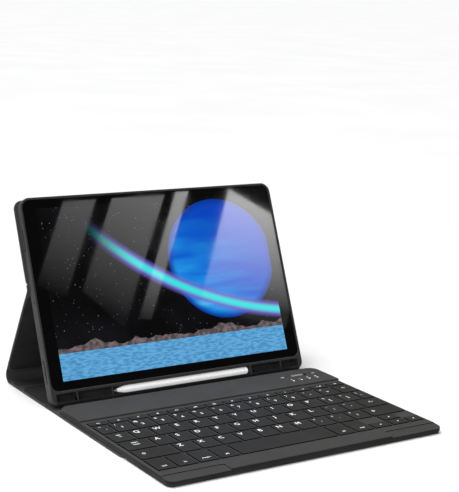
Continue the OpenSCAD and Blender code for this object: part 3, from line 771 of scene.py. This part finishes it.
def makeKeyboard():
    low, high = boxOf(["keyboard_deck"])
    deckTop, barFront = high.z - keyboard["rise"], high.y - keyboard["barDeep"]
    deck = block("keyboardTop", low, (high.x, high.y, deckTop))
    pickEdges(deck, lambda a, b: abs(a.z - b.z) > mm)
    bpy.ops.mesh.bevel(offset=keyboard["corner"], segments=10, affect="EDGES")
    pickEdges(deck, lambda a, b: min(a.z, b.z) > deckTop - 1e-6)
    bpy.ops.mesh.bevel(offset=keyboard["topEdge"], segments=5, affect="EDGES")
    bar = block("bar", (low.x, barFront, low.z + mm), high)
    pickEdges(bar, lambda a, b: abs(a.z - b.z) > mm and a.y > barFront + mm)
    bpy.ops.mesh.bevel(offset=keyboard["barCorner"], segments=12, affect="EDGES")
    pickEdges(bar, lambda a, b: min(a.z, b.z) > high.z - 1e-6)
    bpy.ops.mesh.bevel(offset=keyboard["barEdge"], segments=4, affect="EDGES")
    objectMode()
    cut(deck, bar, "UNION")
    room, wells = keyboard["wellRoom"], []
    for node in keyNodes:
        for left, right, front, rear in keyBoxes(node):
            wells.append(block("well", (left - room, front - room, keyboard["wellFloor"]),
                               (right + room, rear + room, high.z + mm)))
    cut(deck, joined("wells", wells))
    for side in (-1, 1):
        inner = side * ((high.x - low.x) * notch["share"] + notch["out"])
        outer = side * (high.x + notch["past"])
        tool = slab("notchTool", (min(inner, outer), 0, 0),
                    (max(inner, outer), notch["deep"], notch["high"]), notch["round"], 0)
        place = Matrix.Translation((0, low.y - notch["out"], deckTop - notch["drop"])) @ turned(notch["tilt"])
        tool.data.transform(place)
        cut(deck, tool)
    cutSwitchAndLights(deck, high)
    easeSharp(deck, keyboard["ease"], 35).use_clamp_overlap = False
    applyModifiers(deck)
    front = low.y + keyboard["corner"]
    fieldRear = boxOf(["function_keys"])[1].y + mm

    # the deck's front and side faces below the top take the darker base colour as painted shade
    def inPaintedShadeSkirt(face):
        spot, out = face.center, face.normal
        atFront = out.y < -0.45 and spot.y < front
        atSide = abs(out.x) > 0.45 and abs(spot.x) > high.x - keyboard["sideEdge"]
        return (atFront or atSide) and spot.z < deckTop - keyboard["skirt"]

    def inWell(face):
        # the walls of the key wells take near-black painted shade
        spot = face.center
        inField = front < spot.y < fieldRear and abs(spot.x) < high.x - keyboard["sideEdge"]
        return inField and abs(face.normal.z) < 0.3 and keyboard["wellFloor"] < spot.z

    done(smooth(deck), "keyboard", "deck_plastic", "keyboard_deck",
         spots=[("base_plastic", inPaintedShadeSkirt), ("keySide", inWell)])
    baseLow = boxOf(["keyboard_base"])[0]

    def weighBase(a, b):
        # the floor's edges at the sides and in front
        outside = max(abs(a.x), abs(b.x)) > keyboard["baseHalf"]
        inFront = max(a.y, b.y) < baseLow.y + keyboard["baseFront"]
        return 1.0 if max(a.z, b.z) < baseLow.z + 1e-5 and (outside or inFront) else 0.0

    base = easedCopy("keyboard_base", "keyboardFloor", keyboard["baseEase"], weighBase)
    done(base, "keyboard", "base_plastic")
    rail = easedCopy("rubber_rail", "rubberFoot", keyboard["baseEase"], lambda a, b: 1.0)
    done(rail, "keyboard", "rail_rubber")


def cutSwitchAndLights(deck, high):
    knobLow, knobHigh = boxOf(["power_switch"])
    slotX, slotY = (knobLow.x + knobHigh.x) / 2 + switch["shift"], (knobLow.y + knobHigh.y) / 2
    wide, deep, sunk = switch["recess"]
    cut(deck, slab("recess", (slotX - wide, slotY - deep, high.z - sunk),
                   (slotX + wide, slotY + deep, high.z + mm), switch["recessRound"], 0))
    for name, (wide, deep), bottom, top in (
            ("slot", switch["slot"], knobLow.z - 0.4 * mm, high.z + mm),
            ("slotBelow", switch["below"], knobLow.z - 0.6 * mm, high.z - switch["belowTop"])):
        cut(deck, block(name, (slotX - wide, slotY - deep, bottom), (slotX + wide, slotY + deep, top)))
    lightLow, lightHigh = boxOf(["status_lenses"])
    for x in lightPlaces(lightLow):
        hole = lathe("lightHole", [(lightLow.z - 0.5 * mm, lights["hole"]),
                                   (high.z + mm, lights["hole"])], 24)
        hole.data.transform(Matrix.Translation((x, (lightLow.y + lightHigh.y) / 2, 0)))
        cut(deck, hole)
    portLow, portHigh = boxOf(["charge_port"])
    cut(deck, block("portHole", portLow - Vector((mm, 0.3 * mm, 0.1 * mm)),
                    portHigh + Vector((2 * mm, 0.3 * mm, 0.1 * mm))))


def lightPlaces(low):
    return [low.x + lights["first"] + i * lights["pitch"] for i in range(lights["count"])]


makeKeyboard()


def makeSwitch():
    # a sliding knob with a ribbed top
    low, high = boxOf(["power_switch"])
    topLow = Vector((low.x + 2 * mm, low.y + 1.5 * mm, low.z + 0.9 * mm))
    topHigh = Vector((high.x - 2 * mm, high.y - 1.5 * mm, high.z))
    knob = block("switchKnob", topLow, topHigh)
    pickEdges(knob, lambda a, b: abs(a.x - b.x) > mm)
    ribs = switch["ribs"]
    bpy.ops.mesh.subdivide(number_cuts=ribs - 1)
    step = (topHigh.x - topLow.x) / ribs

    def inGroove(centre, normal):
        along = (centre.x - topLow.x) / step
        return normal.z > 0.9 and 1 < along < ribs - 1 and int(along) % 2 == 1

    pickFaces(knob, inGroove)
    bpy.ops.mesh.inset(thickness=switch["ribInset"], use_individual=True)
    bpy.ops.mesh.extrude_region_move(TRANSFORM_OT_translate={"value": (0, 0, -switch["ribDeep"])})
    plate = block("switchPlate", low, (high.x, high.y, topLow.z))
    knob = joined("switchKnob", [knob, plate])
    easeSharp(knob, 0.12 * mm, 40)
    applyModifiers(knob)
    done(smooth(knob), "power_switch", "switch_plastic", "power_switch")


makeSwitch()
print("keyboard body made")

cap = dict(size=(16 * mm, 18 * mm), corner=1.3 * mm, top=0.32 * mm, rim=1.1 * mm, dish=0.03 * mm)


def makeCap():
    # one key cap, modelled once; the keys are copies of it, stretched between their corners
    low, high = boxOf(["space_bar"])
    wide, deep = cap["size"]
    piece = block("capPattern", (-wide / 2, -deep / 2, low.z), (wide / 2, deep / 2, high.z))
    pickEdges(piece, lambda a, b: abs(a.z - b.z) > mm)
    bpy.ops.mesh.bevel(offset=cap["corner"], segments=5, affect="EDGES")
    pickEdges(piece, lambda a, b: min(a.z, b.z) > high.z - 1e-6)
    bpy.ops.mesh.bevel(offset=cap["top"], segments=4, affect="EDGES")
    pickFaces(piece, lambda c, n: n.z > 0.99 and c.z > high.z - 1e-6)
    bpy.ops.mesh.inset(thickness=cap["rim"])
    bpy.ops.transform.translate(value=(0, 0, -cap["dish"]))
    objectMode()
    return piece


capPattern = makeCap()
keyTop = boxOf(["space_bar"])[1].z - cap["dish"]


def makeKeys(node, name):
    copies = []
    for left, right, front, rear in keyBoxes(node):
        mesh = capPattern.data.copy()
        grow = ((right - left - cap["size"][0]) / 2, (rear - front - cap["size"][1]) / 2)
        for v in mesh.vertices:
            v.co.x += (grow[0] if v.co.x > 0 else -grow[0]) + (left + right) / 2
            v.co.y += (grow[1] if v.co.y > 0 else -grow[1]) + (front + rear) / 2
        copy = bpy.data.objects.new(name, mesh)
        scene.collection.objects.link(copy)
        copies.append(copy)
    piece = smooth(joined(name, copies))
    # the cap walls take near-black painted shade
    done(piece, node, "key_plastic", node, spots=[("keySide", lambda f: abs(f.normal.z) < 0.3)])


# labels: (text, size, from the key's left edge, from its rear edge), in millimetres; c centres the text
letter, second, word, arrow = 6.6, 3.9, 3.3, 2.16


def letterKey(text):
    return [(text, letter, 5.6, 4.6)]


def pairKey(lower, upper):
    return [(upper, second, 4.2, 3.6), (lower, 5.0, 7.6, 9.8)]


def wordKey(text, fromRear=9.0):
    return [(text, word, "c", fromRear)]


labels = {
    "function_keys": [[(t, s, "c", 3.9)] for t, s in (
        ("esc", 2.6), ("⌂", 3.2), ("⌕", 3.6), ("☼", 3.0), ("☀", 3.4), ("⌨", 3.0), ("⎙", 3.0),
        ("«", 4.0), ("▶", 2.2), ("»", 4.0), ("♪", 3.2), ("-  ◀", 2.4), ("+  ◀", 2.4),
        ("del", 2.6))],
    "number_keys": [pairKey(a, b) for a, b in zip("`1234567890-=", "~!@#$%^&*()_+")],
    "backspace_key": [[("←", 5.0, "c", 7.0)]],
    "tab_key": [[("tab", word, "c", 5.0), ("⇥", 3.2, "c", 9.0)]],
    "top_letter_keys": [letterKey(t) for t in "QWERTYUIOP"] + [pairKey(*t) for t in ("[{", "]}")]
                       + [[("|", second, 2.6, 3.6), ("\\", 3.6, 4.2, 9.6)]],
    "caps_key": [[("caps", word, "c", 5.0), ("lock", word, "c", 8.4)]],
    "home_letter_keys": [letterKey(t) for t in "ASDFGHJKL"] + [pairKey(*t) for t in (";:", "'\"")],
    "enter_key": [[("←", 6.0, "c", 8.0)]],
    "left_shift_key": [[("⇧", 4.2, 7.0, 8.0)]],
    "bottom_letter_keys": [letterKey(t) for t in "ZXCVBNM"] + [pairKey(*t) for t in (",<", ".>", "/?")],
    "right_shift_key": [[("⇧", 4.2, 7.0, 8.0)]],
    "modifier_keys": [wordKey(t, 16.5) for t in ("ctrl", "fn", "menu", "alt", "alt", "ctrl")],
    "left_arrow_key": [[("◀", arrow, "c", 5.0)]],
    "up_arrow_key": [[("▲", arrow, "c", 5.0)]],
    "down_arrow_key": [[("▼", arrow, "c", 5.0)]],
    "right_arrow_key": [[("▶", arrow, "c", 5.0)]],
}


# weight thickens the strokes, as a share of the size
printing = dict(weight=0.016, thick=0.012 * mm, lightSize=2.4, lightGap=2.6 * mm, switchSize=2.2,
                offGap=8 * mm, onGap=10 * mm)


def printText(text, size, x, y, z):
    objectMode()
    bpy.ops.object.select_all(action="DESELECT")
    bpy.ops.object.text_add()
    made = bpy.context.object
    made.data.body, made.data.size = text, size * mm
    made.data.resolution_u, made.data.offset = 2, size * printing["weight"] * mm
    made.data.extrude = printing["thick"]
    bpy.ops.object.convert(target="MESH")
    made = bpy.context.object
    xs = [v.co.x for v in made.data.vertices]
    ys = [v.co.y for v in made.data.vertices]
    shift = Vector((x - (min(xs) + max(xs)) / 2, y - (min(ys) + max(ys)) / 2, z))
    made.data.transform(Matrix.Translation(shift))
    return made


def pieceName(node, ending):
    words = node.split("_")
    return words[0] + "".join(w.capitalize() for w in words[1:]) + ending


for node in keyNodes:
    makeKeys(node, pieceName(node, "Caps"))
    prints = []
    for (left, right, front, rear), wanted in zip(keyBoxes(node), labels.get(node, [])):
        for text, size, fromLeft, fromRear in wanted:
            x = (left + right) / 2 if fromLeft == "c" else left + fromLeft * mm
            prints.append(printText(text, size, x, rear - fromRear * mm, keyTop))
    if prints:
        done(joined(pieceName(node, "Print"), prints), node, finish="print_white")
bpy.data.objects.remove(capPattern)


def makeBarPrint():
    low, high = boxOf(["status_lenses"])
    knobLow, knobHigh = boxOf(["power_switch"])
    top, knobY = boxOf(["keyboard_deck"])[1].z, (knobLow.y + knobHigh.y) / 2
    prints = [printText(t, printing["lightSize"], x, high.y + printing["lightGap"], top)
              for t, x in zip(("A", "1", "▮", "●"), lightPlaces(low))]
    prints += [printText("OFF", printing["switchSize"], knobLow.x - printing["offGap"], knobY, top),
               printText("ON", printing["switchSize"], knobHigh.x + printing["onGap"], knobY, top)]
    done(joined("barPrint", prints), "keyboard", finish="print_white")


makeBarPrint()
print("keys and print made")

# every CAD node that keeps its own shape takes the finish of its slot
for entry in frame["record"]["subparts"]:
    thing = frame["nodes"][entry["node"]]
    thing.data.materials.clear()
    thing.data.materials.append(materials[entry["material_slot"]])

stage = dict(sun=3.0, sunAngle=50, sunTurn=(-14, -12, 0), fill=14, fillSize=1.2,
             fillPlace=(-1.5, -1.2, 0.9), sky=0.05, zenith=0.9,
             paint=((0.84, 0.84, 0.845), (0.87, 0.87, 0.87)))


def makeStage():
    objectMode()
    bpy.ops.object.select_all(action="DESELECT")
    bpy.ops.mesh.primitive_plane_add(size=60, location=(0, 0, -0.02 * mm))
    floor = bpy.context.object
    floor.name = "floor"
    material, tree, shader = shaderOf("floorPaint")
    paint = ramp(tree, noise(tree, objectPlace(tree), 3.0, 3.0), 0.3, 0.7, *stage["paint"])
    tree.links.new(paint, shader.inputs["Base Color"])
    shader.inputs["Roughness"].default_value = 0.6
    shader.inputs["Specular IOR Level"].default_value = 0.2
    floor.data.materials.append(material)
    bpy.ops.object.light_add(type="SUN", location=(0, 0, 3),
                             rotation=[math.radians(v) for v in stage["sunTurn"]])
    sun = bpy.context.object
    sun.data.energy, sun.data.angle = stage["sun"], math.radians(stage["sunAngle"])
    bpy.ops.object.light_add(type="AREA", location=stage["fillPlace"])
    fill = bpy.context.object
    fill.data.shape, fill.data.size, fill.data.energy = "DISK", stage["fillSize"], stage["fill"]
    fill.rotation_euler = (Vector((0, 0, 0.05)) - fill.location).to_track_quat("-Z", "Y").to_euler()
    # a sky that is white at the horizon and overhead, and dark between, where the glass mirrors it
    world = bpy.data.worlds.new("studio")
    scene.world = world
    world.use_nodes = True
    tree = world.node_tree
    upward = addNode(tree, "ShaderNodeSeparateXYZ", None,
                     Vector=addNode(tree, "ShaderNodeTexCoord").outputs["Generated"]).outputs[2]
    sky = ramp(tree, upward, 0.10, 0.2, (1, 1, 1), (stage["sky"],) * 3)
    sky = ramp(tree, upward, 0.72, 0.95, sky, (stage["zenith"],) * 3)
    tree.links.new(sky, tree.nodes["Background"].inputs[0])
    scene.view_settings.view_transform = "Standard"


# soft window-like panels that the glass mirrors; each is (corners on the glass in millimetres, brightness)
panels = dict(reach=2.6, bright=1.25, fade=0.06, outlines=[
    ([(-88, 176), (-56, 176), (-100, 92), (-126, 104)], 1.5),
    ([(-40, 176), (14, 176), (-50, 60), (-84, 96)], 2.2),
    ([(26, 178), (40, 178), (-22, 64), (-34, 66)], 5.5),
    ([(84, 178), (128, 150), (128, 58), (118, 40), (30, 72)], 7.5),
])


def makePanels():
    # a panel's outline on the glass is carried out to where the camera sees it mirrored
    normal = heading(trayPlace, (0, 0, 1))
    origin = trayPlace @ Vector((0, 0, -mm))
    eye = Vector(view["place"])
    mirrored = eye - 2 * normal * (eye - origin).dot(normal)
    for i, (corners, strength) in enumerate(panels["outlines"]):
        points = []
        for x, u in corners:
            onGlass = trayPlace @ Vector((x * mm, u * mm, -mm))
            points.append(mirrored + (onGlass - mirrored) * panels["reach"])
        mesh = bpy.data.meshes.new(f"lightPanel{i}")
        mesh.from_pydata(points, [], [list(range(len(points)))])
        panel = bpy.data.objects.new(f"lightPanel{i}", mesh)
        scene.collection.objects.link(panel)
        material = bpy.data.materials.new(f"panelGlow{i}")
        material.use_nodes = True
        tree = material.node_tree
        tree.nodes.clear()
        start, end = (points[0] + points[1]) / 2, (points[2] + points[-1]) / 2
        along = addNode(tree, "ShaderNodeVectorMath", {"operation": "SUBTRACT"}, i0=objectPlace(tree),
                        i1=start).outputs[0]
        share = addNode(tree, "ShaderNodeVectorMath", {"operation": "DOT_PRODUCT"}, i0=along,
                        i1=(end - start) / (end - start).length_squared).outputs["Value"]
        fade = addNode(tree, "ShaderNodeMapRange", None, Value=share, i1=0.0, i2=1.0,
                       i3=strength * panels["bright"], i4=strength * panels["fade"]).outputs[0]
        glow = addNode(tree, "ShaderNodeEmission", None, Strength=fade)
        out = addNode(tree, "ShaderNodeOutputMaterial")
        tree.links.new(glow.outputs[0], out.inputs[0])
        mesh.materials.append(material)
        panel.visible_camera = panel.visible_shadow = panel.visible_diffuse = False


makeStage()
makePanels()
print("stage lit")
